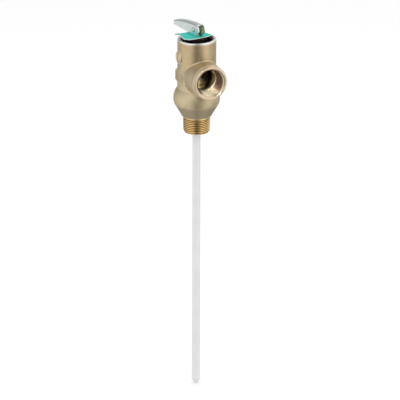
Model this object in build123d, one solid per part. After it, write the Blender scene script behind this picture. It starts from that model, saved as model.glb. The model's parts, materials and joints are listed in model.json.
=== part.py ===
"""Temperature and pressure relief valve for a water heater, in millimetres.

A cast bronze body stands on a male 3/4 inch pipe thread, and a female outlet of the same size looks
along -Y. A spring under a pressed steel cap holds a rubber-faced disc on its seat. Three things lift
the disc: pressure under it, the push rod of a wax thermostat that hangs in the tank, or the hand
lever on top, whose heel is a cam. +Z is up the valve's axis. The origin is on that axis, at the
plane where the tank's port ends when the inlet is screwed in by hand.
"""

import os
from math import cos, pi, radians, sin, sqrt, tan

from build123d import *

# ---- driving dimensions -------------------------------------------------------------------------
GAUGE = 8.6  # from the inlet's end face up to the hand-tight plane, where z is 0
THREAD_PITCH = 25.4 / 14  # 3/4 inch NPT, 14 threads to the inch
THREAD_R = 13.3  # crest of the male thread
THREAD_DEPTH = 1.0
THREAD_CREST = 0.5  # width of a crest's flat land
THREAD_RINGS = 8
OUTLET_R = 12.3  # crest of the female thread
OUTLET_RINGS = 8
BONNET_R = 19.0  # the round upper body
BULB_R = 22.9  # the round belly round the inlet chamber
BOSS_R = 17.4  # the outlet boss at its mouth
OUTLET_REACH = 34.5  # from the valve's axis to the outlet's face
INLET_R = 9.6  # bore of the inlet, where the thermostat's frame sits
NOZZLE_R = 7.8  # outside of the nozzle that carries the seat
NOZZLE_BORE = 5.6
CHAMBER_R = 14.2  # the spring chamber
PROBE_LENGTH = 261.0  # how far the thermostat hangs below the inlet's end
PROBE_R = 4.0  # outside of the plastic coating
TUBE_R = 3.2  # outside of the thermostat's copper tube
TUBE_BORE = 2.6
ROD_R = 1.5  # the thermostat's push rod
CAP_R = 16.2  # outside of the cap's cup
CAP_FLANGE_R = 18.2
CAP_T = 1.2  # sheet of the cap
HUB_R = 10.0  # outside of the cap's hub
BAND_HALF = 4.6  # half the height of the wrench flats
LIP_R = 18.3  # inside of the body's lip, round the cap's flange
RING_R = 18.85  # outside of the bright ring
SPRING_R = 6.4  # mean radius of the main spring
SPRING_WIRE = 2.2
HOLDER_R = 6.0  # the disc holder's body
CUP_R = 4.2  # the cup in the holder
CLIP_T = 0.8
STEM_R = 2.4
STEM_FLAT = 2.0  # half the thickness of the stem's flattened top
LEVER_W = 8.2  # over the lever's two sides
LEVER_T = 1.1  # sheet of the lever
LEVER_TIP = 37.5  # from the pin to the lever's tip
LEVER_BACK = 5.6  # the highest place of the lever's back, over the pin
LEVER_BOW_R = 176.0  # the lever's back is a little bowed
LEVER_BOW_AT = -6.5  # where along the lever its back is highest
LEVER_TURN = 7.5  # how far the lever stands round from straight behind the outlet, in degrees
LEVER_RANGE = 75.0  # how far the lever lifts, in degrees
PIN_R = 1.5
CAM_R = 5.9  # from the lever's pin down to the tag, at rest
CAM_RISE = 2.6  # how far the cam lifts the stem, in mm per radian of lever
TAG_T = 0.6
RUN = 0.06  # radial clearance of a running fit
GAP = 0.05  # clearance between faces that meet without being joined


def up(height):
    """The z of a height given from the inlet's end face."""
    return height - GAUGE


# ---- levels on the valve's axis -----------------------------------------------------------------
CONE_Z = up(16.4)  # where the cone under the belly starts
BULB_Z = up(33.0)  # centre of the belly
SEAT_Z = up(43.0)  # the seat's sealing edge
BAND_Z = up(57.6)  # middle of the six-sided wrench band
OUTLET_Z = up(59.2)  # the outlet's axis
LEDGE_Z = up(92.0)  # the ledge the cap's flange stands on
LIP_Z = up(94.3)  # top of the body's lip
FRAME_Z = up(16.0)  # the step the thermostat's frame stands against
DISC_Z = SEAT_Z + GAP  # underside of the seat disc
HOLDER_Z = up(45.4)  # underside of the disc's brass holder
HOLDER_TOP = up(51.0)
CUP_FLOOR = up(46.6)  # floor of the holder's cup, under the stem's foot
CLIP_Z = up(48.95)  # underside of the stem's clip
SPRING_Z = up(53.0)  # foot of the main spring
HUB_TOP = up(98.3)  # top of the cap's hub, where the tag lies
TAG_Z = HUB_TOP + GAP
PIN_Z = TAG_Z + TAG_T + CAM_R


# ---- small helpers ------------------------------------------------------------------------------
def turned(points):
    """A solid of revolution about the valve's axis, from its half outline as (radius, z) points."""
    return revolve(Plane.XZ * make_face(Polyline(*points, close=True)), Axis.Z)


def ring(inner, outer, low, high):
    """A plain ring about the valve's axis."""
    return turned([(inner, low), (outer, low), (outer, high), (inner, high)])


def rod(radius, low, high):
    """A plain round bar on the valve's axis."""
    return Pos(0, 0, (low + high) / 2) * Cylinder(radius, high - low)


def spin(shape):
    """Turns what belongs to the lever round the valve's axis to where the lever rests."""
    return Rot(0, 0, LEVER_TURN) * shape


def on_circle(edge, radius, level):
    """Whether a round edge has this radius and lies at this height."""
    return abs(edge.radius - radius) < 0.01 and abs(edge.center().Z - level) < 0.01


def thread_points(radius, depth, start, rings):
    """The (radius, position) points of a run of thread rings, with flat crests at the radius."""
    flank = (THREAD_PITCH - THREAD_CREST) * 0.42
    points = []
    for n in range(rings):
        at = start + n * THREAD_PITCH
        points.append((radius, at))
        points.append((radius, at + THREAD_CREST))
        if n < rings - 1:
            points.append((radius - depth, at + THREAD_CREST + flank))
            points.append((radius - depth, at + THREAD_PITCH - flank))
    return points


# ---- the body -----------------------------------------------------------------------------------
def body_core():
    """The round casting: thread, cone, belly and bonnet, as one turned solid."""
    start = up(1.5)
    thread = thread_points(THREAD_R, THREAD_DEPTH, start, THREAD_RINGS)
    thread_end = thread[-1][1]
    cone_r = 14.4
    low = BULB_Z - 3.4
    low_r = cone_r + (low - CONE_Z) * tan(radians(30))
    high = BULB_Z + sqrt(BULB_R**2 - BONNET_R**2)
    foot = Polyline(
        (0, up(0)),
        (THREAD_R - 1.2, up(0)),
        *thread,
        (THREAD_R - 0.8, thread_end + 0.7),
        (THREAD_R - 0.8, CONE_Z - 0.5),
        (cone_r, CONE_Z),
        (low_r, low),
    )
    ball = ThreePointArc((low_r, low), (BULB_R, BULB_Z + 1.5), (BONNET_R, high))
    top = Polyline(
        (BONNET_R, high),
        (BONNET_R, LIP_Z - 0.3),
        (BONNET_R - 0.15, LIP_Z),
        (0, LIP_Z),
        (0, up(0)),
    )
    return revolve(Plane.XZ * make_face([foot, ball, top]), Axis.Z)


def band_room():
    """The ring of the round casting that gives way to the wrench flats."""
    return ring(CHAMBER_R + 1, BULB_R + 5, BAND_Z - BAND_HALF, BAND_Z + BAND_HALF)


def wrench_band():
    """Six wrench flats round the bonnet at the outlet's level, with sloping cast shoulders."""
    flats = 18.5
    corner = 21.3
    above = 3.0
    below = 1.8
    height = 2 * BAND_HALF + above + below
    hexagon = RegularPolygon(flats, 6, major_radius=False, rotation=30)
    prism = Pos(0, 0, BAND_Z - BAND_HALF - below) * extrude(hexagon, height)
    hull = turned([
        (0, BAND_Z - BAND_HALF - below),
        (BONNET_R - 0.6, BAND_Z - BAND_HALF - below),
        (corner, BAND_Z - BAND_HALF),
        (corner, BAND_Z + BAND_HALF),
        (BONNET_R - 0.6, BAND_Z + BAND_HALF + above),
        (0, BAND_Z + BAND_HALF + above),
    ])
    return prism & hull


def outlet_boss():
    """The outlet's outside: a boss with a little casting draft, from the axis to its mouth."""
    base_r = 18.7
    bead_r = BOSS_R + 0.15
    outline = Polyline(
        (0, 0),
        (base_r, 0),
        (bead_r, -OUTLET_REACH + 1.6),
        (BOSS_R - 0.3, -OUTLET_REACH + 0.5),
        (BOSS_R - 1.0, -OUTLET_REACH),
        (0, -OUTLET_REACH),
        close=True,
    )
    return Pos(0, 0, OUTLET_Z) * revolve(make_face(outline), Axis.Y)


def medallion():
    """A plain raised disc on the bonnet's left side, sunk between its rim and its middle."""
    level = up(78.0)
    disc_r = 6.2
    face = -BONNET_R - 1.1
    back = -BONNET_R + 4
    disc = Pos((face + back) / 2, 0, level) * Rot(0, 90, 0) * Cylinder(disc_r, back - face)
    depth = 0.6
    groove = Cylinder(disc_r - 1.2, depth) - Cylinder(disc_r - 3.4, depth)
    return disc - Pos(face + depth / 2, 0, level) * Rot(0, 90, 0) * groove


def outlet_bore():
    """What the outlet leaves open: a threaded mouth and the way on into the spring chamber."""
    mouth = -OUTLET_REACH
    crests = thread_points(OUTLET_R, -0.85, mouth + 2.0, OUTLET_RINGS)
    inner = crests[-1][1]
    way_r = 11.0
    outline = Polyline(
        (0, mouth - 1),
        (OUTLET_R + 1.6, mouth - 1),
        (OUTLET_R + 1.6, mouth),
        *crests,
        (OUTLET_R, inner + 0.8),
        (way_r, inner + 2.2),
        (way_r, 0),
        (0, 0),
        close=True,
    )
    return Pos(0, 0, OUTLET_Z) * revolve(make_face(outline), Axis.Y)


def chamber():
    """The spring chamber above the seat: a moat round the nozzle, and room for the cap on top."""
    floor = SEAT_Z - 3.6
    return turned([
        (0, SEAT_Z),
        (NOZZLE_R - 0.5, SEAT_Z),
        (NOZZLE_R, SEAT_Z - 0.6),
        (NOZZLE_R + 0.5, floor),
        (CHAMBER_R - 1.0, floor),
        (CHAMBER_R, floor + 1.0),
        (CHAMBER_R, up(84.6)),
        (CAP_R + 0.1, up(86.4)),
        (CAP_R + 0.1, LEDGE_Z),
        (LIP_R, LEDGE_Z),
        (LIP_R, LIP_Z + 0.1),
        (0, LIP_Z + 0.1),
    ])


def inlet_way():
    """The way up: the inlet's bore, the chamber in the belly and the nozzle, ending at the seat."""
    clip = up(9.0)
    return turned([
        (0, up(-1)),
        (INLET_R + 0.8, up(-1)),
        (INLET_R + 0.8, up(0)),
        (INLET_R, up(0.8)),
        (INLET_R, clip),
        (INLET_R + 0.6, clip),
        (INLET_R + 0.6, clip + 1.0),
        (INLET_R, clip + 1.0),
        (INLET_R, FRAME_Z),
        (INLET_R - 0.9, FRAME_Z),
        (INLET_R - 0.9, up(18.5)),
        (15.6, up(26.5)),
        (15.6, up(31.0)),
        (9.0, up(35.6)),
        (NOZZLE_BORE, up(36.6)),
        (NOZZLE_BORE, SEAT_Z + 1),
        (0, SEAT_Z + 1),
    ])


def valve_body():
    """The cast body: its outside less its three hollows."""
    outside = body_core() - band_room() + wrench_band() + outlet_boss() + medallion()
    return outside - chamber() - inlet_way() - outlet_bore()


# ---- the cap and the spring ---------------------------------------------------------------------
def spring_cap():
    """The pressed cap: a flange on the body's ledge, a trough, and a hub over the spring's end."""
    trough = up(87.0)
    cap = turned([
        (STEM_R + RUN, HUB_TOP - CAP_T),
        (HUB_R - CAP_T, HUB_TOP - CAP_T),
        (HUB_R - CAP_T, trough),
        (CAP_R, trough),
        (CAP_R, LEDGE_Z),
        (CAP_FLANGE_R, LEDGE_Z),
        (CAP_FLANGE_R, LEDGE_Z + CAP_T),
        (CAP_R - CAP_T, LEDGE_Z + CAP_T),
        (CAP_R - CAP_T, trough + CAP_T),
        (HUB_R, trough + CAP_T),
        (HUB_R, HUB_TOP),
        (STEM_R + RUN, HUB_TOP),
    ])
    round_edges = cap.edges().filter_by(GeomType.CIRCLE)
    hub_edge = [edge for edge in round_edges if on_circle(edge, HUB_R, HUB_TOP)]
    cup_edge = [edge for edge in round_edges if on_circle(edge, CAP_R, trough)]
    return fillet(hub_edge + cup_edge, 1.5)


def cap_ring():
    """The bright ring on top, staked over the body's lip and down onto the cap's flange."""
    inner_r = 16.3
    top = LIP_Z + 1.3
    body = turned([
        (inner_r, LEDGE_Z + CAP_T),
        (LIP_R - 0.1, LEDGE_Z + CAP_T),
        (LIP_R - 0.1, LIP_Z),
        (RING_R, LIP_Z),
        (RING_R, top),
        (inner_r, top),
    ])
    edges = body.edges().filter_by(GeomType.CIRCLE)
    body = fillet([edge for edge in edges if on_circle(edge, RING_R, top)], 0.9)
    edges = body.edges().filter_by(GeomType.CIRCLE)
    return fillet([edge for edge in edges if on_circle(edge, inner_r, top)], 0.6)


def coil(pitch, start, turns):
    """A run of the main spring's wire, from start upwards."""
    path = Pos(0, 0, start) * Helix(pitch, pitch * turns, SPRING_R)
    profile = Plane(origin=path @ 0, z_dir=path % 0) * Circle(SPRING_WIRE / 2)
    return sweep(profile, path=path, is_frenet=True)


def main_spring():
    """The main spring, with its end coils closed and ground flat."""
    low = SPRING_Z
    high = up(96.3)
    active = 10
    closed = SPRING_WIRE * 1.04
    first = low + SPRING_WIRE * 0.35 + closed
    last = high - SPRING_WIRE * 0.35 - closed
    wire = coil(closed, first - closed, 1) + coil((last - first) / active, first, active)
    wire += coil(closed, last, 1)
    return wire & rod(SPRING_R * 2, low, high)


def spring_washer():
    """The washer between the spring's upper end and the cap."""
    return ring(STEM_R + 0.4, HUB_R - CAP_T - 0.3, up(96.3), HUB_TOP - CAP_T)


# ---- the disc and the stem ----------------------------------------------------------------------
def seat_disc():
    """The rubber disc that seals on the nozzle."""
    return ring(ROD_R, 8.0, DISC_Z, HOLDER_Z)


def disc_holder():
    """The brass holder: a flange over the rubber disc and a cup that takes the stem's end."""
    flange_r = 8.1
    return turned([
        (0, HOLDER_Z),
        (flange_r, HOLDER_Z),
        (flange_r, HOLDER_Z + 0.9),
        (flange_r - 0.5, HOLDER_Z + 1.4),
        (HOLDER_R, HOLDER_Z + 1.4),
        (HOLDER_R, HOLDER_TOP),
        (CUP_R, HOLDER_TOP),
        (CUP_R, CUP_FLOOR),
        (0, CUP_FLOOR),
    ]) - rod(1.5, HOLDER_Z, up(46.3))


def disc_washer():
    """The washer that backs the rubber disc inside the nozzle."""
    return ring(1.5, 4.6, DISC_Z - 0.9, DISC_Z)


def disc_screw():
    """The screw that holds the washer and the rubber disc on the holder."""
    top = DISC_Z - 0.9
    head = extrude(RegularPolygon(2.75, 6, major_radius=False), 1.6)
    return Pos(0, 0, top - 1.6) * head + rod(1.5, top, up(46.3))


def spring_seat():
    """The seat for the spring's foot, fitted in the holder's cup over the stem's clip."""
    hole = STEM_R + RUN
    low = CLIP_Z + CLIP_T + GAP
    flange_r = 7.3
    return turned([
        (hole, low),
        (CUP_R, low),
        (CUP_R, HOLDER_TOP),
        (HOLDER_R + 0.4, HOLDER_TOP),
        (flange_r, HOLDER_TOP + 0.7),
        (flange_r, SPRING_Z),
        (4.9, SPRING_Z),
        (4.9, SPRING_Z + 2.6),
        (4.4, SPRING_Z + 3.2),
        (hole, SPRING_Z + 3.2),
    ])


def stem():
    """The stem: a groove for its clip at the foot, two flats and a cross hole at the top."""
    foot = up(48.5)
    bar = rod(STEM_R, foot, PIN_Z + STEM_R)
    bar -= ring(STEM_R - 0.7, STEM_R + 1, CLIP_Z, CLIP_Z + CLIP_T)
    round_top = Pos(0, 0, PIN_Z) * Rot(0, 90, 0) * Cylinder(STEM_R, 4 * STEM_R)
    keep = round_top + Pos(0, 0, (foot + PIN_Z) / 2 - 1) * Box(20, 20, PIN_Z - foot + 2)
    bar &= keep
    flats_low = up(94.2)
    flats_high = PIN_Z + STEM_R + 1
    for side in (-1, 1):
        at = side * (STEM_FLAT + 5)
        bar -= Pos(at, 0, (flats_low + flats_high) / 2) * Box(10, 20, flats_high - flats_low)
    bar -= Pos(0, 0, PIN_Z) * Rot(0, 90, 0) * Cylinder(PIN_R, 20)
    return spin(bar)


def stem_clip():
    """The split clip in the stem's groove, which catches the spring seat and lifts the disc."""
    clip = ring(STEM_R - 0.7, 3.6, CLIP_Z, CLIP_Z + CLIP_T)
    return clip - Pos(0, -5, CLIP_Z) * Box(2.4, 10, 4)


# ---- the lever and the tag ----------------------------------------------------------------------
def lever_outline():
    """The lever's side, as (along, up) points from its pin: the heel is the cam."""
    cam = []
    steps = 15
    for n in range(steps + 1):
        angle = radians(LEVER_RANGE) * n / steps
        reach = CAM_R - GAP + CAM_RISE * angle
        along = -reach * sin(angle) - CAM_RISE * cos(angle)
        rise = -reach * cos(angle) + CAM_RISE * sin(angle)
        cam.append((along, rise))
    flat = CAM_R - GAP
    heel = Spline(*cam)
    front, end = -6.0, LEVER_TIP - 1.2
    middle = (front + end) / 2
    bow = ThreePointArc(
        (front, back_height(front)),
        (middle, back_height(middle)),
        (end, back_height(end)),
    )
    nose = Polyline(cam[-1], (-9.5, 1.8), (-8.7, 3.7), (-7.5, 5.0), (front, back_height(front)))
    tip_z = back_height(LEVER_TIP)
    belly = Polyline(
        (end, back_height(end)),
        (LEVER_TIP, tip_z - 0.9),
        (LEVER_TIP, tip_z - 3.2),
        (LEVER_TIP - 0.9, tip_z - 4.3),
        (8.2, -5.1),
        (6.6, -5.25),
        (5.2, -flat),
        cam[0],
    )
    return [heel, nose, bow, belly]


def back_height(along, inset=0.0):
    """The height over the pin of the lever's bowed back, or of a line that far inside it."""
    bow = LEVER_BOW_R - inset
    return LEVER_BACK - LEVER_BOW_R + sqrt(bow**2 - (along - LEVER_BOW_AT)**2)


def test_lever():
    """The hand lever: a folded channel whose two ears straddle the stem and stand on the tag."""
    side = Plane.YZ * make_face(lever_outline())
    block = Pos(-LEVER_W / 2, 0, 0) * extrude(side, LEVER_W, dir=(1, 0, 0))
    long_edges = [edge for edge in block.edges() if edge.length > 20 and edge.center().Z > 0]
    block = fillet(long_edges, 1.7)
    inner = LEVER_W / 2 - LEVER_T
    front, end = -4.6, LEVER_TIP + 4
    middle = (front + end) / 2
    under = ThreePointArc(
        (front, back_height(front, LEVER_T)),
        (middle, back_height(middle, LEVER_T)),
        (end, back_height(end, LEVER_T)),
    )
    rest = Polyline(
        (end, back_height(end, LEVER_T)),
        (end, -20),
        (-20, -20),
        (-20, 20),
        (front, 20),
        (front, back_height(front, LEVER_T)),
    )
    hollow = Plane.YZ * make_face([under, rest])
    block -= Pos(-inner, 0, 0) * extrude(hollow, 2 * inner, dir=(1, 0, 0))
    block -= Rot(0, 90, 0) * Cylinder(PIN_R + RUN, 30)
    return spin(Pos(0, 0, PIN_Z) * block)


def lever_pin():
    """The rivet through the ears and the stem, with a head at one end and clenched at the other."""
    face = LEVER_W / 2 + 0.1
    rivet = Rot(0, 90, 0) * Cylinder(PIN_R, 2 * face)
    head = Pos(-face - 0.45, 0, 0) * Rot(0, 90, 0) * Cylinder(2.4, 0.9)
    clench = Pos(face + 0.35, 0, 0) * Rot(0, 90, 0) * Cylinder(2.1, 0.7)
    head = chamfer(head.faces().sort_by(Axis.X)[0].edges(), 0.4)
    clench = chamfer(clench.faces().sort_by(Axis.X)[-1].edges(), 0.35)
    return spin(Pos(0, 0, PIN_Z) * (rivet + head + clench))


def tag_plan():
    """The tag's outline from above, with one corner dog-eared and its right side cut slanting."""
    outline = make_face(Polyline(
        (-15.5, -10.4),
        (11.4, -9.2),
        (7.4, 12.0),
        (-14.6, 12.0),
        (-18.4, 10.8),
        (-15.8, 8.4),
        (-18.8, -7.6),
        close=True,
    ))
    round_corners = [corner for corner in outline.vertices() if corner.X > -18.3 and abs(corner.X + 15.8) > 0.1]
    return fillet(round_corners, 0.9)


def name_tag():
    """The blank aluminium tag under the lever, bent up a little at both ends by handling."""
    left = [(-19.0, 1.0), (-15.8, 0.6), (-12.5, 0.25), (-9.0, 0.05), (-6.0, 0.0)]
    right = [(6.0, 0.0), (8.4, 0.25), (10.2, 0.7), (11.8, 1.3)]
    low_left = Spline(*left, tangents=[(1, -0.1), (1, 0)])
    low_right = Spline(*right, tangents=[(1, 0), (1, 0.42)])
    top_left = Pos(0, TAG_T) * low_left
    top_right = Pos(0, TAG_T) * low_right
    section = make_face([
        low_left,
        Line(left[-1], right[0]),
        low_right,
        Line(right[-1], (right[-1][0], right[-1][1] + TAG_T)),
        top_right,
        Line((right[0][0], TAG_T), (left[-1][0], TAG_T)),
        top_left,
        Line((left[0][0], left[0][1] + TAG_T), left[0]),
    ])
    sheet = Pos(0, -15, 0) * extrude(Plane.XZ * section, 30, dir=(0, 1, 0))
    sheet &= Pos(0, 0, -2) * extrude(tag_plan(), 10)
    hole = Circle(STEM_R + RUN) & Rectangle(2 * (STEM_FLAT + RUN), 20)
    sheet -= Pos(0, 0, -2) * extrude(hole, 10)
    return spin(Pos(0, 0, TAG_Z) * sheet)


# ---- the thermostat -----------------------------------------------------------------------------
def element_frame():
    """The brass frame in the inlet: a rim against the bore's step, three ribs and a hub."""
    low = up(10.0)
    hub_top = up(18.0)
    frame = ring(INLET_R - 1.5, INLET_R, low, FRAME_Z) + ring(TUBE_R, 4.8, low, hub_top)
    for n in range(3):
        rib = Pos(6.4, 0, (low + FRAME_Z) / 2) * Box(4.6, 1.8, FRAME_Z - low)
        frame += Rot(0, 0, 90 + 120 * n) * rib
    return frame - rod(TUBE_R, low - 1, hub_top + 1)


def frame_clip():
    """The split ring in the inlet's groove, under the frame."""
    low = up(9.0)
    clip = ring(INLET_R - 1.0, INLET_R + 0.6, low, low + 1.0)
    return clip - Pos(0, -INLET_R, low) * Box(6, 8, 4)


def element_gland():
    """The brass cap on the tube's upper end, which guides the push rod."""
    low = up(18.0)
    body = extrude(RegularPolygon(4.8, 6, major_radius=False), 5.0)
    gland = Pos(0, 0, low) * body + ring(ROD_R + RUN, 3.2, low + 4, low + 8)
    return gland - rod(TUBE_R, low - 1, low + 4) - rod(ROD_R + RUN, low, low + 10)


def push_rod():
    """The thermostat's push rod, from the rubber plug up to just under the disc's screw."""
    return rod(ROD_R, up(20.0) + GAP, DISC_Z - 0.9 - 1.6 - GAP)


def wax_plug():
    """The rubber plug between the wax and the push rod."""
    return rod(TUBE_BORE, up(14.0), up(20.0))


def wax_fill():
    """The wax that swells with heat."""
    return rod(TUBE_BORE, up(-PROBE_LENGTH + 1.8), up(14.0))


def thermostat_tube():
    """The copper tube of the thermostat, closed at the bottom."""
    low = up(-PROBE_LENGTH + 0.8)
    high = up(22.0)
    tube = turned([
        (0, low),
        (TUBE_R - 1.0, low),
        (TUBE_R, low + 1.0),
        (TUBE_R, high),
        (TUBE_BORE, high),
        (TUBE_BORE, low + 1.0),
        (0, low + 1.0),
    ])
    return tube


def probe_coating():
    """The white plastic coat over the tube, with a round end."""
    low = up(-PROBE_LENGTH)
    high = up(6.0)
    bar = rod(PROBE_R, low + PROBE_R, high) + Pos(0, 0, low + PROBE_R) * Sphere(PROBE_R)
    return bar - thermostat_core()


def thermostat_core():
    """The room inside the coating that the tube fills."""
    low = up(-PROBE_LENGTH + 0.8)
    return turned([
        (0, low),
        (TUBE_R - 1.0, low),
        (TUBE_R, low + 1.0),
        (TUBE_R, up(30.0)),
        (0, up(30.0)),
    ])


def main():
    os.makedirs("parts", exist_ok=True)
    parts = {
        "valve_body": valve_body(),
        "spring_cap": spring_cap(),
        "cap_ring": cap_ring(),
        "main_spring": main_spring(),
        "spring_washer": spring_washer(),
        "seat_disc": seat_disc(),
        "disc_holder": disc_holder(),
        "disc_washer": disc_washer(),
        "disc_screw": disc_screw(),
        "spring_seat": spring_seat(),
        "stem": stem(),
        "stem_clip": spin(stem_clip()),
        "test_lever": test_lever(),
        "lever_pin": lever_pin(),
        "name_tag": name_tag(),
        "element_frame": element_frame(),
        "frame_clip": frame_clip(),
        "element_gland": element_gland(),
        "push_rod": push_rod(),
        "wax_plug": wax_plug(),
        "wax_fill": wax_fill(),
        "thermostat_tube": thermostat_tube(),
        "probe_coating": probe_coating(),
    }
    for name, shape in parts.items():
        print(name, round(shape.volume), shape.is_valid, len(shape.solids()))
        export_step(shape, f"parts/{name}.step")


main()
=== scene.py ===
"""Looks, light and camera for the temperature and pressure relief valve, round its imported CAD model."""

import json
import math

import bpy
import numpy as np
from mathutils import Matrix, Vector


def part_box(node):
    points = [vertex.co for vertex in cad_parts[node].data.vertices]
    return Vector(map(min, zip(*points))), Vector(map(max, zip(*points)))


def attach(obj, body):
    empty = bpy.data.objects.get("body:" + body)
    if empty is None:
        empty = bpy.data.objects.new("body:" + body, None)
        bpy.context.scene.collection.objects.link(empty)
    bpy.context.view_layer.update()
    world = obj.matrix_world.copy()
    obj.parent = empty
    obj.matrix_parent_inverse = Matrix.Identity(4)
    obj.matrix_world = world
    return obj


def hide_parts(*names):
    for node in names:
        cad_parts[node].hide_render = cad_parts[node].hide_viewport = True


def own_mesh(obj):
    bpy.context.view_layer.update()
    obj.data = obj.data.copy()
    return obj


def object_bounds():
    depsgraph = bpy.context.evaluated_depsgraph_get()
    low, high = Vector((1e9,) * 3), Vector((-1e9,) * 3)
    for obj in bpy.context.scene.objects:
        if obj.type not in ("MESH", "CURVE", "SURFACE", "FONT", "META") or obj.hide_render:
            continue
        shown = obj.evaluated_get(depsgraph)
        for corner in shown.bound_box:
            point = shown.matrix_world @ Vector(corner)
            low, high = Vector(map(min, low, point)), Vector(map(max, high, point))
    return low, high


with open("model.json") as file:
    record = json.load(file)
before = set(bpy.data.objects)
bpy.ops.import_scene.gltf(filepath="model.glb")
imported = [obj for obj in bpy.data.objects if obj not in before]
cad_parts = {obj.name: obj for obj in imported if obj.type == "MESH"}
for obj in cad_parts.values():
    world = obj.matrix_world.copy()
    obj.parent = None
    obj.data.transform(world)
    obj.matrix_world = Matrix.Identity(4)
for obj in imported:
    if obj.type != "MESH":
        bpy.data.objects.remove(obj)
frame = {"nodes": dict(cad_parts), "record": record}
cad_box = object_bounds()

# ---- sizes, in mm -------------------------------------------------------------------------------
MM = 0.001  # in metres
MM_PER_M = 1000.0
INLET_END = round(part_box("valve_body")[0].z * MM_PER_M, 2)
OUTLET_FACE = round(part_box("valve_body")[0].y * MM_PER_M, 2)


def up(height):
    """The z of a height given from the inlet's end face."""
    return INLET_END + height


# the casting
OUTLET_Z = up(59.2)  # the outlet's axis
CONE_FOOT = up(15.5)
CONE_TOP = up(30.5)
FLATS_Z = up(57.6)  # the middle of the wrench flats
BONNET_FOOT = up(66.5)
BONNET_R = 19.0
LIP_FOOT = up(89.0)
DISC_Z = up(78.0)  # the middle of the raised disc on the bonnet
CAVITY_R = 17.0  # round both axes, for the hollow that the outlet shows, which is painted dark as shade
CAVITY_FRONT = -19.0
VOXEL = 0.32

# both pipe threads
PITCH = 25.4 / 14
TAPER = 1 / 32  # how much the radius changes along the axis
THREAD_LENGTH = 14.6
THREAD_ROWS = 150
RUN_OUT = 0.9  # over which a thread grows to its full depth

# the male thread
THREAD_START = up(0.5)
THREAD_END = THREAD_START + THREAD_LENGTH
CREST_R = 13.5  # at the thread's upper end
INLET_DEPTH = 1.05
INLET_BORE_R = 9.62
INLET_STEPS = 200

# the female thread
OUTLET_START = OUTLET_FACE + 1.0
OUTLET_ROOT_R = 13.45  # at the thread's outer end
OUTLET_DEPTH = 1.0
OUTLET_STEPS = 220

# the tag, in the frame of the lever
LEVER_TURN = math.radians(7.5)
TAG_CORNERS = [
    (-15.5, -10.4), (11.4, -9.2), (7.4, 12.0), (-14.6, 12.0),
    (-18.4, 10.8), (-15.8, 8.4), (-18.8, -7.6),
]
TAG_ROUNDING = [0.9, 0.9, 0.9, 0.9, 0.3, 0.5, 0.5]
TAG_LOW = up(98.35)
TAG_THICK = 0.6
TAG_ROWS = 30
SLOT_R = 2.46
SLOT_HALF = 2.06

# the main spring
SPRING_R = 6.4
SPRING_WIRE = 2.2
SPRING_TURNS = 12

WELD_GAP = 0.002
STEM_EDGE, LEVER_EDGE, PIN_EDGE, TAG_EDGE = 0.15, 0.16, 0.12, 0.12


# ---- camera -------------------------------------------------------------------------------------
AZIMUTH = math.radians(-23.5)
ELEVATION = math.radians(19.0)
ROLL = math.radians(0.2)
DISTANCE = 8.0  # metres, to the valve's own level
FIELD = 0.3906  # metres, how wide the view is there
AIM_Z = -0.0799  # metres
AIM_SIDE = 0.0036
AIM_BEYOND = 0.0395  # how much further away than the valve the point aimed at is
SENSOR = 36.0


def add_camera():
    """The camera, aimed at the middle of the valve's height."""
    data = bpy.data.cameras.new("camera")
    data.sensor_width = SENSOR
    data.lens = SENSOR * DISTANCE / FIELD
    data.clip_start = 0.1
    data.clip_end = 40.0
    camera = bpy.data.objects.new("camera", data)
    bpy.context.scene.collection.objects.link(camera)
    back = Vector((
        math.sin(AZIMUTH) * math.cos(ELEVATION),
        -math.cos(AZIMUTH) * math.cos(ELEVATION),
        math.sin(ELEVATION),
    ))
    side = Vector((math.cos(AZIMUTH), math.sin(AZIMUTH), 0.0))
    aim = Vector((0, 0, AIM_Z)) + side * AIM_SIDE
    turn = (-back).to_track_quat("-Z", "Y").to_matrix().to_4x4() @ Matrix.Rotation(ROLL, 4, "Z")
    camera.matrix_world = Matrix.Translation(aim + back * (DISTANCE + AIM_BEYOND)) @ turn
    bpy.context.scene.camera = camera


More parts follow.
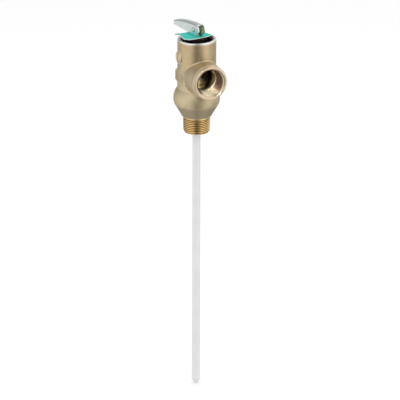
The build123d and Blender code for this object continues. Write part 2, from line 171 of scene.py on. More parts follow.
# ---- materials ----------------------------------------------------------------------------------
class Shader:
    """A small wrapper round one node material."""

    def __init__(self, name):
        self.mat = bpy.data.materials.new(name)
        self.mat.use_nodes = True
        self.tree = self.mat.node_tree
        self.bsdf = self.tree.nodes["Principled BSDF"]
        self.coords = self.tree.nodes.new("ShaderNodeTexCoord").outputs["Object"]

    def node(self, kind, inputs=None, **settings):
        """A new node with its inputs linked or set."""
        made = self.tree.nodes.new("ShaderNode" + kind)
        for key, value in settings.items():
            setattr(made, key, value)
        for key, value in (inputs or {}).items():
            self.put(made.inputs[key], value)
        return made

    def put(self, socket, value):
        """Links another node's output to a socket, or sets its value."""
        if isinstance(value, bpy.types.NodeSocket):
            self.tree.links.new(value, socket)
        else:
            socket.default_value = value

    def stretch(self, scale):
        """The object's coordinates, scaled along each axis."""
        return self.node("Mapping", {"Vector": self.coords, "Scale": scale}).outputs["Vector"]

    def noise(self, scale, detail=3.0, rough=0.5, vector=None):
        """Noise of about 0.5, finer with a larger scale."""
        source = self.coords if vector is None else vector
        inputs = {"Vector": source, "Scale": scale, "Detail": detail, "Roughness": rough}
        return self.node("TexNoise", inputs).outputs["Fac"]

    def remap(self, value, low, high, to_low=0.0, to_high=1.0):
        """A value's range turned into another range, and kept inside it."""
        made = self.node("MapRange", {0: value, 1: low, 2: high, 3: to_low, 4: to_high})
        return made.outputs[0]

    def math(self, operation, a, b=0.0):
        return self.node("Math", {0: a, 1: b}, operation=operation).outputs[0]

    def mix(self, factor, a, b):
        """Colour a at factor 0, colour b at factor 1."""
        made = self.node("Mix", data_type="RGBA")
        self.put(made.inputs["Factor"], factor)
        for socket, value in ((made.inputs[6], a), (made.inputs[7], b)):
            if isinstance(value, tuple):
                value = (*value, 1.0)
            self.put(socket, value)
        return made.outputs[2]

    def clouds(self, noise, low, high, light, dark):
        """Two colours that wander into each other."""
        return self.mix(self.remap(noise, low, high), light, dark)

    def axis(self, index):
        """One of the object's coordinates, in mm."""
        parts = self.node("SeparateXYZ", {0: self.coords})
        return self.math("MULTIPLY", parts.outputs[index], MM_PER_M)

    def attribute(self, name, most=1.0):
        """A number kept with the mesh's points, from 0 to 1, times its most."""
        fac = self.node("Attribute", attribute_name=name).outputs["Fac"]
        return fac if most == 1.0 else self.remap(fac, 0.0, 1.0, 0.0, most)

    def bump(self, *layers):
        """Bumps from (height, depth in metres) layers, one on another."""
        normal = None
        for height, depth in layers:
            made = self.node("Bump", {"Height": height, "Strength": 1.0, "Distance": depth})
            if normal is not None:
                self.put(made.inputs["Normal"], normal)
            normal = made.outputs["Normal"]
        self.put(self.bsdf.inputs["Normal"], normal)

    def set(self, **values):
        """Sets inputs of the surface's shader by their names, with _ for a space."""
        for key, value in values.items():
            if isinstance(value, tuple):
                value = (*value, 1.0)
            self.put(self.bsdf.inputs[key.replace("_", " ")], value)


def cast_bronze():
    """The tumbled casting, with its turned bonnet a little smoother than its belly."""
    s = Shader("cast_bronze")
    broad = s.noise(90.0)
    grain = s.noise(1500.0, 4.0, 0.6)
    pits = s.noise(620.0, 2.0)
    turned = s.attribute("turned")
    tan = s.clouds(broad, 0.35, 0.65, (0.44, 0.335, 0.195), (0.515, 0.395, 0.235))
    olive = s.clouds(broad, 0.35, 0.65, (0.465, 0.385, 0.235), (0.545, 0.455, 0.29))
    colour = s.mix(turned, olive, tan)
    # painted shade: the cone under the belly faces down, so the casting is darkened up to just under the
    # cone's top
    above_cone = s.remap(s.axis(2), CONE_TOP - 4.5, CONE_TOP)
    colour = s.mix(above_cone, s.mix(0.7, colour, (0.34, 0.275, 0.185)), colour)
    # painted highlight: a light colour along the concave fillets, such as the boss's junction with the
    # bonnet
    colour = s.mix(s.attribute("hollow", 0.65), colour, (0.74, 0.64, 0.46))
    # painted highlight along the edges that stand proud, such as the corners of the wrench flats
    colour = s.mix(s.attribute("proud", 0.75), colour, (0.82, 0.70, 0.50))
    # painted shade: the hollow inside the body that the outlet shows is made nearly black
    colour = s.mix(s.attribute("inside"), colour, (0.085, 0.045, 0.028))
    colour = s.mix(s.remap(pits, 0.60, 0.72, 0.0, 0.30), colour, (0.27, 0.21, 0.13))
    rough = s.remap(grain, 0.3, 0.7, 0.40, 0.54)
    rough = s.math("SUBTRACT", rough, s.math("MULTIPLY", turned, 0.09))
    s.set(Base_Color=colour, Metallic=1.0, Roughness=rough)
    s.bump((grain, 0.00005), (pits, 0.00006), (broad, 0.00012))
    return s.mat


def turned_bronze():
    """Machined bronze: bright golden crests, painted shade in the thread roots, faint tool marks."""
    s = Shader("turned_bronze")
    marks = s.noise(1.0, 2.0, vector=s.stretch((300.0, 300.0, 9000.0)))
    stain = s.noise(160.0)
    colour = s.clouds(stain, 0.35, 0.7, (0.92, 0.69, 0.36), (0.80, 0.58, 0.27))
    # painted shade in the thread roots
    colour = s.mix(s.math("MULTIPLY", s.attribute("root"), 0.85), colour, (0.22, 0.13, 0.045))
    s.set(Base_Color=colour, Metallic=1.0, Roughness=s.remap(marks, 0.3, 0.7, 0.12, 0.22))
    s.bump((marks, 0.000006))
    return s.mat


def turned_mouth():
    """The outlet's faced mouth, pinkish where it is bare, with painted brown shade inside and a pale
    painted pool of light along its floor.
    """
    s = Shader("turned_mouth")
    marks = s.noise(1.0, 2.0, vector=s.stretch((400.0, 9000.0, 400.0)))
    stain = s.noise(140.0)
    behind_rim = s.remap(s.axis(1), OUTLET_FACE + 1.1, OUTLET_FACE + 1.8)
    outer = s.remap(s.attribute("outside"), 0.4, 0.6)
    deep = s.math("MULTIPLY", behind_rim, s.math("SUBTRACT", 1.0, outer))
    bare = s.clouds(stain, 0.35, 0.7, (0.66, 0.53, 0.38), (0.57, 0.44, 0.305))
    # painted shade: dark brown for the bore behind the rim
    brown = s.clouds(stain, 0.35, 0.7, (0.19, 0.125, 0.085), (0.125, 0.08, 0.05))
    # painted light: a pale cream pool of light along the bore's floor
    above_floor = s.remap(s.axis(2), OUTLET_Z - 11.5, OUTLET_Z - 8.5)
    inside = s.mix(above_floor, (0.90, 0.78, 0.52), brown)
    colour = s.mix(deep, bare, inside)
    # painted shade in the thread roots
    colour = s.mix(s.math("MULTIPLY", s.attribute("root"), 0.6), colour, (0.20, 0.12, 0.07))
    s.set(Base_Color=colour, Metallic=1.0, Roughness=s.remap(marks, 0.3, 0.7, 0.24, 0.38))
    s.bump((marks, 0.00001))
    return s.mat


def metal(name, light, dark, rough_low, rough_high):
    """A plain metal whose colour and gloss wander a little."""
    s = Shader(name)
    cloud = s.noise(260.0)
    fine = s.noise(2600.0)
    colour = s.clouds(cloud, 0.3, 0.7, light, dark)
    s.set(Base_Color=colour, Metallic=1.0, Roughness=s.remap(fine, 0.25, 0.75, rough_low, rough_high))
    s.bump((fine, 0.000008))
    return s.mat


def dull(name, light, dark, rough_low, rough_high, scale=300.0, depth=0.00002, coat=0.0):
    """A non-metal whose colour and gloss wander a little."""
    s = Shader(name)
    cloud = s.noise(scale)
    fine = s.noise(2400.0)
    colour = s.clouds(cloud, 0.3, 0.7, light, dark)
    s.set(Base_Color=colour, Roughness=s.remap(fine, 0.25, 0.75, rough_low, rough_high), Coat_Weight=coat)
    s.bump((fine, depth))
    return s.mat


def tag_paint():
    """The teal dye of the tag: brushed, with a pale border at its edge, bare below, and grey at its tail as
    painted shade on the bent corner.
    """
    s = Shader("tag_teal")
    brush = s.noise(1.0, vector=s.stretch((5200.0, 260.0, 260.0)))
    cloud = s.noise(180.0)
    teal = s.clouds(cloud, 0.35, 0.65, (0.004, 0.58, 0.49), (0.010, 0.66, 0.57))
    colour = s.mix(s.remap(s.attribute("rim"), 0.35, 0.75), teal, (0.78, 0.90, 0.86))
    colour = s.mix(s.attribute("bare"), colour, (0.42, 0.42, 0.40))
    s.set(Base_Color=colour, Metallic=0.35, Roughness=s.remap(brush, 0.3, 0.7, 0.30, 0.44))
    s.bump((brush, 0.000006))
    return s.mat


def lever_plate():
    """The lever's zinc-plated steel."""
    s = Shader("lever_steel")
    cloud = s.noise(150.0, 4.0)
    spangle = s.noise(900.0, 2.0)
    colour = s.clouds(cloud, 0.3, 0.7, (0.66, 0.71, 0.70), (0.76, 0.81, 0.80))
    colour = s.mix(s.remap(spangle, 0.55, 0.75, 0.0, 0.25), colour, (0.54, 0.57, 0.58))
    s.set(Base_Color=colour, Metallic=1.0, Roughness=s.remap(spangle, 0.3, 0.7, 0.30, 0.42))
    s.bump((spangle, 0.00001), (cloud, 0.00003))
    return s.mat


MATERIALS = {
    "cast_bronze": cast_bronze(),
    "turned_bronze": turned_bronze(),
    "turned_mouth": turned_mouth(),
    "black_steel": metal("black_steel", (0.055, 0.04, 0.032), (0.03, 0.022, 0.018), 0.34, 0.52),
    "bright_ring": metal("bright_ring", (0.86, 0.86, 0.85), (0.78, 0.78, 0.78), 0.10, 0.18),
    "spring_steel": metal("spring_steel", (0.44, 0.42, 0.40), (0.34, 0.32, 0.30), 0.22, 0.36),
    "yellow_brass": metal("yellow_brass", (1.0, 0.90, 0.48), (0.93, 0.79, 0.36), 0.34, 0.48),
    "stainless": metal("stainless", (0.66, 0.66, 0.66), (0.56, 0.56, 0.57), 0.18, 0.30),
    "copper_tube": metal("copper_tube", (0.80, 0.42, 0.27), (0.66, 0.32, 0.20), 0.22, 0.34),
    "seat_rubber": dull("seat_rubber", (0.020, 0.020, 0.022), (0.035, 0.035, 0.037), 0.5, 0.7),
    "wax": dull("wax", (0.66, 0.58, 0.34), (0.58, 0.50, 0.28), 0.3, 0.45),
    "probe_white": dull(
        "probe_white", (0.68, 0.69, 0.69), (0.72, 0.725, 0.725), 0.34, 0.46,
        scale=60.0, depth=0.00001, coat=0.1,
    ),
    "lever_steel": lever_plate(),
    "tag_teal": tag_paint(),
}


def paint_nodes():
    """Gives every CAD node the material that its record names."""
    for subpart in frame["record"]["subparts"]:
        for slot in frame["nodes"][subpart["node"]].material_slots:
            slot.material = MATERIALS[subpart["material_slot"]]


# ---- mesh helpers -------------------------------------------------------------------------------
def add_piece(name, verts, faces, material, body):
    """A mesh in mm becomes a piece in metres that rides on a body."""
    mesh = bpy.data.meshes.new(name)
    mesh.from_pydata([tuple(v) for v in np.asarray(verts) * MM], [], faces)
    mesh.update()
    mesh.materials.append(MATERIALS[material])
    mesh.polygons.foreach_set("use_smooth", [True] * len(mesh.polygons))
    piece = bpy.data.objects.new(name, mesh)
    bpy.context.scene.collection.objects.link(piece)
    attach(piece, body)
    return piece


def add_attribute(piece, name, values):
    """A number for each of a piece's vertices, for its material."""
    made = piece.data.attributes.new(name, "FLOAT", "POINT")
    made.data.foreach_set("value", np.asarray(values, np.float32))


def add_weld(piece):
    weld = piece.modifiers.new("weld", "WELD")
    weld.merge_threshold = WELD_GAP * MM


def add_bevel(piece, width, least_angle):
    """Rounds the edges that are sharper than an angle in degrees."""
    bevel = piece.modifiers.new("bevel", "BEVEL")
    bevel.width = width * MM
    bevel.segments = 2
    bevel.limit_method = "ANGLE"
    bevel.angle_limit = math.radians(least_angle)
    bevel.harden_normals = True


def soften(node, width):
    """Rounds the cut edges of a sheet-metal or turned node a little."""
    piece = frame["nodes"][node]
    add_weld(piece)
    add_bevel(piece, width, 40)


def valve_r(points):
    """Distances from the valve's axis."""
    return np.hypot(points[:, 0], points[:, 1])


def outlet_r(points):
    """Distances from the outlet's axis."""
    return np.hypot(points[:, 0], points[:, 2] - OUTLET_Z)


# ---- threads ------------------------------------------------------------------------------------
def full_turn(steps):
    return np.linspace(0, 2 * math.pi, steps, endpoint=False)


def round_z(r, angles, position):
    """Points round the valve's axis."""
    return np.stack([r * np.cos(angles), r * np.sin(angles), np.full(len(angles), position)], 1)


def round_y(r, angles, position):
    """Points round the outlet's axis."""
    return np.stack([r * np.sin(angles), np.full(len(angles), position), OUTLET_Z + r * np.cos(angles)], 1)


def lathe(profile, steps, place):
    """A closed solid from a closed profile of (radius, or radius at each step round, and position)."""
    angles = full_turn(steps)
    rows = len(profile)
    verts = np.zeros((steps, rows, 3))
    for k, (radius, position) in enumerate(profile):
        verts[:, k] = place(np.broadcast_to(radius, steps), angles, position)
    faces = []
    for i in range(steps):
        j = (i + 1) % steps
        for k in range(rows):
            m = (k + 1) % rows
            faces.append((i * rows + k, j * rows + k, j * rows + m, i * rows + m))
    return verts.reshape(-1, 3), faces


def thread_height(position, angles, start):
    """0 at a thread's root and 1 at its crest, running out at both ends."""
    steepness, root_flat = 1.35, 0.12
    phase = np.mod((position - start) / PITCH - angles / (2 * math.pi), 1.0)
    wave = 1.0 - np.abs(2.0 * phase - 1.0)
    grows = np.clip((position - start) / RUN_OUT, 0, 1)
    fades = np.clip((start + THREAD_LENGTH - position) / RUN_OUT, 0, 1)
    return np.clip(wave * steepness - root_flat, 0, 1) * min(grows, fades)


def crest_r(z):
    """The male thread's radius over its crests."""
    return CREST_R - (THREAD_END - z) * TAPER


def inlet_thread():
    """The male thread, as the tapered helix it is."""
    end_r, lead_in_r = 12.0, 12.1
    angles = full_turn(INLET_STEPS)
    profile = [(INLET_BORE_R, up(0.9)), (10.4, up(0.0)), (end_r, up(0.0))]
    for n in range(THREAD_ROWS + 1):
        z = THREAD_START + THREAD_LENGTH * n / THREAD_ROWS
        helix = crest_r(z) - INLET_DEPTH + INLET_DEPTH * thread_height(z, angles, THREAD_START)
        profile.append((np.minimum(helix, lead_in_r + z - INLET_END), z))
    profile += [(12.2, up(15.6)), (12.3, up(16.2)), (11.4, up(16.8)), (INLET_BORE_R, up(15.9))]
    verts, faces = lathe(profile, INLET_STEPS, round_z)
    piece = add_piece("inlet_thread", verts, faces, "turned_bronze", "body")
    z, r = verts[:, 2], valve_r(verts)
    depth = np.clip((crest_r(z) - r) / INLET_DEPTH, 0, 1)
    threaded = (z > up(1.0)) & (z < up(14.8)) & (r > 11.5)
    # the depth into the thread, which the material darkens as painted shade in the roots
    add_attribute(piece, "root", np.where(threaded, depth, 0.15))


def outlet_mouth():
    """The faced mouth of the outlet and the female thread inside it."""
    rim_r, chamfer_slope, crest_inner_r = 15.0, 1.05, 12.4
    face = OUTLET_FACE
    angles = full_turn(OUTLET_STEPS)
    profile = [(rim_r, face), (15.6, face), (16.3, face), (16.65, face + 0.08), (16.95, face + 0.28)]
    profile += [(17.2, face + 0.6), (17.38, face + 1.1), (17.42, face + 1.7), (17.35, face + 2.6)]
    profile += [(17.15, face + 3.6), (16.4, face + 4.4), (14.8, face + 15.0), (13.4, face + 16.2)]
    profile.append((crest_inner_r, face + 16.4))
    for n in range(THREAD_ROWS, -1, -1):
        y = OUTLET_START + THREAD_LENGTH * n / THREAD_ROWS
        root = OUTLET_ROOT_R - (y - OUTLET_START) * TAPER
        helix = root - OUTLET_DEPTH * thread_height(y, -angles, OUTLET_START)
        profile.append((np.maximum(helix, rim_r - (y - face) * chamfer_slope), y))
    verts, faces = lathe(profile, OUTLET_STEPS, round_y)
    piece = add_piece("outlet_mouth", verts, faces, "turned_mouth", "body")
    r = outlet_r(verts)
    depth = np.clip((r - crest_inner_r) / OUTLET_DEPTH, 0, 1)
    threaded = (r < 13.6) & (verts[:, 1] > face + 1.5)
    # the depth into the thread, which the material darkens as painted shade in the roots
    add_attribute(piece, "root", np.where(threaded, depth, 0.0))
    add_attribute(piece, "outside", np.where(r > 15.5, 1.0, 0.0))


# ---- casting ------------------------------------------------------------------------------------
class Net:
    """A mesh's points in mm, and the edges that join them."""

    def __init__(self, mesh):
        flat = np.zeros(len(mesh.vertices) * 3)
        mesh.vertices.foreach_get("co", flat)
        self.points = flat.reshape(-1, 3) * MM_PER_M
        ends = np.zeros(len(mesh.edges) * 2, np.int64)
        mesh.edges.foreach_get("vertices", ends)
        self.a, self.b = ends[0::2], ends[1::2]
        self.degree = np.bincount(ends, minlength=len(mesh.vertices)).astype(float)

    def towards_neighbours(self, points):
        """The way from each point to the middle of the points it is joined to."""
        total = np.zeros_like(points)
        np.add.at(total, self.a, points[self.b])
        np.add.at(total, self.b, points[self.a])
        return total / self.degree[:, None] - points


def remeshed(name, node):
    """A new object with a fine even mesh over a CAD node's solid."""
    piece = bpy.data.objects.new(name, frame["nodes"][node].data.copy())
    bpy.context.scene.collection.objects.link(piece)
    add_weld(piece)
    remesh = piece.modifiers.new("remesh", "REMESH")
    remesh.mode = "VOXEL"
    remesh.voxel_size = VOXEL * MM
    remesh.use_smooth_shade = True
    bpy.context.view_layer.update()
    dense = bpy.data.meshes.new_from_object(piece.evaluated_get(bpy.context.evaluated_depsgraph_get()))
    piece.modifiers.clear()
    piece.data = dense
    return piece


def softness(points):
    """1 where the casting is bare and its corners are round, 0 where it is turned or crisp."""
    x, y, z = points.T
    soft = np.ones(len(points))
    soft[z < CONE_FOOT] = 0.0
    soft[y < OUTLET_FACE + 3.0] = 0.0
    soft[z > LIP_FOOT] = 0.0
    flats = (np.abs(z - FLATS_Z) < 6.5) & (y > -12.5) & (valve_r(points) > 17.0)
    soft[flats] *= 0.25
    disc = (x < 0.4 - BONNET_R) & (np.hypot(y, z - DISC_Z) < 7.5)
    soft[disc] = 0.0
    return soft


def round_off(net, soft):
    """Takes the remesh's steps off everywhere, then rounds the soft places further."""
    for _ in range(2):
        net.points += net.towards_neighbours(net.points) * 0.5
    for _ in range(7):
        net.points += net.towards_neighbours(net.points) * 0.5 * soft[:, None]


def true_up_bonnet(points):
    """The turned bonnet stays a true cylinder away from the boss, the flats and the raised disc."""
    reach = 0.12
    radius = valve_r(points)
    true = np.clip(1.0 - np.abs(radius - BONNET_R) / reach, 0, 1) * (points[:, 2] > BONNET_FOOT)
    points[:, :2] *= (1.0 + true * (BONNET_R / np.maximum(radius, 1.0) - 1.0))[:, None]


def turned_places(points):
    """1 on the bonnet's turned face, 0 on the rest of the casting."""
    high = np.clip((points[:, 2] - BONNET_FOOT + 0.5) / 3.0, 0, 1)
    return high * np.clip(2.0 - np.abs(valve_r(points) - BONNET_R) / 0.5, 0, 1)


def draw_back_inlet(points, start):
    """The casting draws back under the male thread's own piece, so that only the piece shows."""
    wall_r, hidden_r, hidden_bore_r = 11.0, 11.9, 9.95
    r, z = valve_r(start), start[:, 2]
    outside = (z < up(16.3)) & (r > wall_r)
    bore = (z < up(15.8)) & (r <= wall_r)
    pull = np.where(outside, np.minimum(1.0, hidden_r / np.maximum(r, 1.0)), 1.0)
    pull = np.where(bore, hidden_bore_r / np.maximum(r, 1.0), pull)
    points[:, :2] *= pull[:, None]
    end = z < up(1.0)
    points[end, 2] = np.maximum(points[end, 2], up(1.0))


def draw_back_outlet(points, start):
    """The casting draws back under the outlet's mouth and thread, which are a piece of their own."""
    wall_r, hidden_r, hidden_mouth_r, hidden_bore_r = 15.6, 16.3, 14.6, 14.4
    r, y = outlet_r(start), start[:, 1]
    mouth = (y < OUTLET_FACE + 3.3) & (r > 11.8)
    bore = (y < -18.6) & (r < 14.2)
    mouth_r = np.where(r > wall_r, np.minimum(r, hidden_r), np.maximum(r, hidden_mouth_r))
    grow = np.where(mouth, mouth_r, np.where(bore, hidden_bore_r, r)) / np.maximum(r, 1.0)
    points[:, 0] *= grow
    points[:, 2] = OUTLET_Z + (points[:, 2] - OUTLET_Z) * grow
    points[:, 1] = np.maximum(points[:, 1], OUTLET_FACE + 1.2)


def hollowness(mesh, net):
    """How deep in mm each point lies in a hollow, or below 0 how far it stands proud on an edge."""
    normals = np.zeros(len(mesh.vertices) * 3)
    mesh.vertices.foreach_get("normal", normals)
    field = net.points.copy()
    for _ in range(12):
        field += net.towards_neighbours(field) * 0.5
    return ((field - net.points) * normals.reshape(-1, 3)).sum(1)


def casting():
    """The cast body: the CAD's solid with the soft inner and outer corners that a casting has."""
    piece = remeshed("casting", "valve_body")
    mesh = piece.data
    net = Net(mesh)
    start = net.points.copy()
    round_off(net, softness(start))
    turned = turned_places(net.points)
    true_up_bonnet(net.points)
    draw_back_inlet(net.points, start)
    draw_back_outlet(net.points, start)
    mesh.vertices.foreach_set("co", (net.points * MM).ravel())
    mesh.update()
    hollow = hollowness(mesh, net)
    # the hollow inside the body, which the outlet shows; it gets painted shade and no fillet highlight
    inside = (valve_r(start) < CAVITY_R) & (outlet_r(start) < CAVITY_R) & (start[:, 1] > CAVITY_FRONT)
    add_attribute(piece, "turned", turned)
    # painted highlight for the concave fillets, kept off the hollow inside
    add_attribute(piece, "hollow", np.where(inside, 0.0, np.clip(hollow / 0.10, 0, 1)))
    add_attribute(piece, "inside", np.where(inside, 0.85, 0.0))
    # painted highlight along proud edges
    add_attribute(piece, "proud", np.clip(-hollow / 0.08, 0, 1))
    mesh.materials.clear()
    mesh.materials.append(MATERIALS["cast_bronze"])
    mesh.polygons.foreach_set("use_smooth", [True] * len(mesh.polygons))
    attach(piece, "body")
    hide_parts("valve_body")


# ---- tag ----------------------------------------------------------------------------------------
def tag_height(x):
    """How far the tag has been bent up at a place across it."""
    flat, sharpness = 6.0, 1.7
    left = 0.6 * np.clip((-flat - x) / 9.8, 0, 1) ** sharpness
    tail = 0.4 * np.clip((-15.8 - x) / 3.2, 0, 1)
    right = 1.3 * np.clip((x - flat) / 5.8, 0, 1) ** sharpness
    return left + tail + right


def rounded_outline(corners, radii, steps):
    """A closed polygon's outline in steps, its corners rounded."""
    count = len(corners)
    points = []
    for k in range(count):
        here = Vector(corners[k])
        before = (Vector(corners[k - 1]) - here).normalized()
        after = (Vector(corners[(k + 1) % count]) - here).normalized()
        half = before.angle(after) / 2
        cut = radii[k] / math.tan(half)
        middle = here + (before + after).normalized() * (radii[k] / math.sin(half))
        start, end = here + before * cut - middle, here + after * cut - middle
        for m in range(steps + 1):
            points.append(tuple(middle + start.slerp(end, m / steps)))
    return points


def divided(outline, step):
    """A closed outline with more points, about a step apart on its long runs."""
    points = []
    for k, (x, y) in enumerate(outline):
        nx, ny = outline[(k + 1) % len(outline)]
        parts = max(1, int(math.hypot(nx - x, ny - y) / step))
        for m in range(parts):
            points.append((x + (nx - x) * m / parts, y + (ny - y) * m / parts))
    return np.array(points)


def slot_edge(outer):
    """The edge of the slot for the stem's flats, with a point towards each of the outline's."""
    angles = np.arctan2(outer[:, 1], outer[:, 0])
    r = np.minimum(SLOT_R, SLOT_HALF / np.maximum(np.abs(np.cos(angles)), 1e-6))
    return np.column_stack([r * np.cos(angles), r * np.sin(angles)])


def sheet_faces(around):
    """The faces of the tag, whose points go round in rows from the slot outwards, the lower side first."""
    faces = []
    side = (TAG_ROWS + 1) * around
    edge = TAG_ROWS * around
    for k in range(around):
        n = (k + 1) % around
        for m in range(TAG_ROWS):
            p, q = m * around + k, m * around + n
            u, v = p + around, q + around
            faces.append((p, q, v, u))
            faces.append((p + side, u + side, v + side, q + side))
        faces.append((k, k + side, n + side, n))
        faces.append((edge + k, edge + n, edge + n + side, edge + k + side))
    return faces


def turned_with_lever(points):
    """Points from the frame of the lever at rest, turned about the valve's axis into the valve's own."""
    cos, sin = math.cos(LEVER_TURN), math.sin(LEVER_TURN)
    x, y, z = points.T
    return np.column_stack([x * cos - y * sin, x * sin + y * cos, z])


def tag():
    """The teal tag, a thin sheet a little bent by handling, with a slot for the stem's flats."""
    rim_width = 1.0
    outer = divided(rounded_outline(TAG_CORNERS, TAG_ROUNDING, 5), 0.6)
    inner = slot_edge(outer)
    verts, rim, bare = [], [], []
    for upper in (0, 1):
        for m in range(TAG_ROWS + 1):
            t = (m / TAG_ROWS) ** 0.8
            plan = inner * (1 - t) + outer * t
            verts.append(np.column_stack([plan, tag_height(plan[:, 0]) + TAG_LOW + TAG_THICK * upper]))
            gap = np.hypot(*(outer - plan).T)
            rim.append(np.clip(1.0 - gap / rim_width, 0, 1))
            # the tail is grey on its upper side too, as painted shade on the bent corner
            tail = (plan[:, 0] < -15.4) & (plan[:, 1] > 8.0)
            bare.append(np.where(tail, 1.0, 1.0 - upper))
    verts = turned_with_lever(np.concatenate(verts))
    piece = add_piece("tag", verts, sheet_faces(len(outer)), "tag_teal", "tag")
    add_attribute(piece, "rim", np.concatenate(rim))
    add_attribute(piece, "bare", np.concatenate(bare))
    add_bevel(piece, TAG_EDGE, 50)
    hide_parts("name_tag")


# ---- spring -------------------------------------------------------------------------------------
def spring_tube(low, high, steps, sides):
    """A wire wound up between two heights, its end turns closed and ground flat."""
    closed = SPRING_WIRE * 1.04
    first = low + SPRING_WIRE * 0.35
    last = high - SPRING_WIRE * 0.35
    at = (0, 1, SPRING_TURNS - 1, SPRING_TURNS)
    heights = (first, first + closed, last - closed, last)
    count = SPRING_TURNS * steps + 1
    verts, faces = [], []
    for n in range(count):
        angle = 2 * math.pi * n / steps
        height = np.interp(n / steps, at, heights)
        for m in range(sides):
            tilt = 2 * math.pi * m / sides
            r = SPRING_R + SPRING_WIRE / 2 * math.cos(tilt)
            z = min(max(height + SPRING_WIRE / 2 * math.sin(tilt), low), high)
            verts.append((r * math.cos(angle), r * math.sin(angle), z))
    for n in range(count - 1):
        for m in range(sides):
            k = (m + 1) % sides
            faces.append((n * sides + m, n * sides + k, (n + 1) * sides + k, (n + 1) * sides + m))
    faces.append(tuple(range(sides - 1, -1, -1)))
    faces.append(tuple(range((count - 1) * sides, count * sides)))
    return verts, faces


def main_spring():
    """The main spring as its own helix, shown in place of the CAD's spring."""
    low, high = (corner.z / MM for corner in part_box("main_spring"))
    verts, faces = spring_tube(low, high, steps=48, sides=16)
    piece = add_piece("spring_coils", verts, faces, "spring_steel", "body")
    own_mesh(piece)
    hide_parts("main_spring")


# ---- light and floor, in metres -----------------------------------------------------------------
WRAP_R = 0.9
# how bright the wrap is round about, as (degrees from -Y towards +X, level), where 0.5 is plain white
ROUND_LIGHT = [
    (-180, 0.38), (-150, 0.34), (-125, 0.55), (-100, 0.62), (-70, 0.68), (-54, 0.56), (-42, 0.30),
    (-32, 0.05), (-20, 0.09), (-6, 0.26), (8, 0.40), (20, 0.62), (34, 0.80), (44, 0.62),
    (58, 0.42), (90, 0.34), (115, 0.34), (150, 0.42), (180, 0.38),
]
# the same high up, where a broad soft box hangs on each side
HIGH_LIGHT = [
    (-180, 0.12), (-160, 0.12), (-130, 0.38), (-60, 0.65), (-35, 0.40), (-18, 0.12), (-6, 0.12), (12, 0.45),
    (40, 0.65), (100, 0.60), (140, 0.36), (160, 0.26), (180, 0.12),
]
# how bright it is from straight below (-1) to straight above (1)
HEIGHT_LIGHT = [(-1.0, 0.75), (-0.7, 0.80), (-0.33, 0.95), (0.0, 1.0), (0.4, 1.0), (1.0, 1.0)]
FLOOR_GAP = 0.001
FLOOR_REACH = 9.0
FOCUS = (0, 0, 0.04)
OUTLET_MIDDLE = (0.0, OUTLET_FACE * MM, OUTLET_Z * MM)


def add_light(data, centre, target):
    """Hangs a lamp up and aims it."""
    light = bpy.data.objects.new(data.name, data)
    bpy.context.scene.collection.objects.link(light)
    light.location = centre
    light.rotation_mode = "QUATERNION"
    light.rotation_quaternion = (Vector(target) - Vector(centre)).to_track_quat("-Z", "Y")


def panel(name, centre, size, power):
    """A soft box."""
    data = bpy.data.lights.new(name, "AREA")
    data.shape = "RECTANGLE"
    data.size, data.size_y = size
    data.energy = power
    add_light(data, centre, FOCUS)


def snoot():
    """A small lamp with a snoot, which lights only the inside of the outlet."""
    data = bpy.data.lights.new("snoot", "SPOT")
    data.spot_size = math.radians(1.05)
    data.spot_blend = 0.6
    data.shadow_soft_size = 0.006
    data.energy = 110.0
    add_light(data, (-0.30, -1.36, 0.52), OUTLET_MIDDLE)


def floor():
    """A plain pale floor just under the probe's tip, which reflections don't see."""
    z = cad_box[0].z - FLOOR_GAP
    far = FLOOR_REACH
    mesh = bpy.data.meshes.new("floor")
    mesh.from_pydata([(-far, -far, z), (far, -far, z), (far, far, z), (-far, far, z)], [], [(0, 1, 2, 3)])
    made = bpy.data.objects.new("floor", mesh)
    bpy.context.scene.collection.objects.link(made)
    s = Shader("floor")
    s.set(Base_Color=(0.93, 0.93, 0.93), Roughness=0.9)
    mesh.materials.append(s.mat)
    made.visible_glossy = False


def wrap_mesh(steps=96, rows=48):
    """A sphere round the valve that faces inwards."""
    verts, faces = [], []
    for m in range(rows + 1):
        tilt = math.pi * (m / rows - 0.5)
        for k in range(steps):
            angle = 2 * math.pi * k / steps
            across = WRAP_R * math.cos(tilt)
            verts.append((across * math.cos(angle), across * math.sin(angle), WRAP_R * math.sin(tilt)))
    for m in range(rows):
        for k in range(steps):
            n = (k + 1) % steps
            faces.append((m * steps + k, (m + 1) * steps + k, (m + 1) * steps + n, m * steps + n))
    mesh = bpy.data.meshes.new("surround")
    mesh.from_pydata(verts, [], faces)
    return mesh


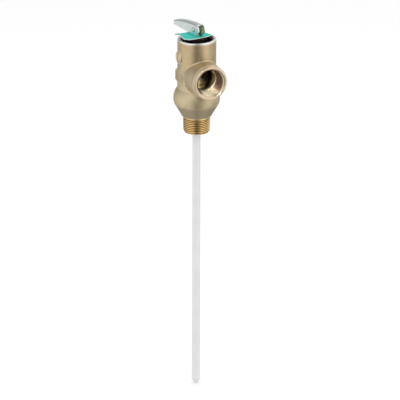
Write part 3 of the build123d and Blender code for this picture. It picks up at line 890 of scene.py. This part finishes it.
def soft_ramp(shader, value, stops):
    """A smooth curve of grey levels over a value that runs from the first stop to the last."""
    low, high = stops[0][0], stops[-1][0]
    made = shader.node("ValToRGB", {0: value})
    ramp = made.color_ramp
    ramp.interpolation = "B_SPLINE"
    while len(ramp.elements) < len(stops):
        ramp.elements.new(0.5)
    for element, (at, level) in zip(ramp.elements, stops):
        element.position = (at - low) / (high - low)
        element.color = (level, level, level, 1.0)
    return made.outputs[0]


def surround():
    """A studio wrap that only reflections see: soft boxes at both sides, a dark gap in front."""
    mesh = wrap_mesh()
    made = bpy.data.objects.new("surround", mesh)
    bpy.context.scene.collection.objects.link(made)
    s = Shader("surround")
    x, y, z = s.node("SeparateXYZ", {0: s.coords}).outputs
    around = s.remap(s.math("ARCTAN2", x, s.math("MULTIPLY", y, -1.0)), -math.pi, math.pi)
    low_down = soft_ramp(s, around, ROUND_LIGHT)
    high_up = soft_ramp(s, around, HIGH_LIGHT)
    height = soft_ramp(s, s.remap(z, -WRAP_R, WRAP_R), HEIGHT_LIGHT)
    level = s.math("MULTIPLY", s.mix(s.remap(z, 0.0, 0.30), low_down, high_up), height)
    strength = s.math("MULTIPLY", level, 2.0)
    emission = s.node("Emission", {"Color": (1.0, 1.0, 1.0, 1.0), "Strength": strength})
    s.tree.links.new(emission.outputs[0], s.tree.nodes["Material Output"].inputs["Surface"])
    mesh.materials.append(s.mat)
    made.visible_camera = False
    made.visible_diffuse = False
    made.visible_shadow = False
    made.visible_transmission = False


def add_world():
    world = bpy.data.worlds.new("world")
    bpy.context.scene.world = world
    world.use_nodes = True
    background = world.node_tree.nodes["Background"]
    background.inputs["Color"].default_value = (1.0, 1.0, 1.0, 1.0)
    background.inputs["Strength"].default_value = 0.95


# ---- the scene ----------------------------------------------------------------------------------
add_camera()
paint_nodes()

casting()
inlet_thread()
outlet_mouth()
tag()
main_spring()
soften("test_lever", LEVER_EDGE)
soften("lever_pin", PIN_EDGE)
soften("stem", STEM_EDGE)

floor()
surround()
add_world()
panel("key", (-1.2, -1.3, 1.3), (0.7, 1.1), 4.0)
panel("fill", (1.5, -1.0, 0.5), (0.35, 1.3), 2.0)
panel("top", (0.1, 0.2, 1.8), (1.0, 1.0), 6.0)
snoot()

bpy.context.scene.view_settings.view_transform = "Standard"
bpy.context.scene.view_settings.look = "None"
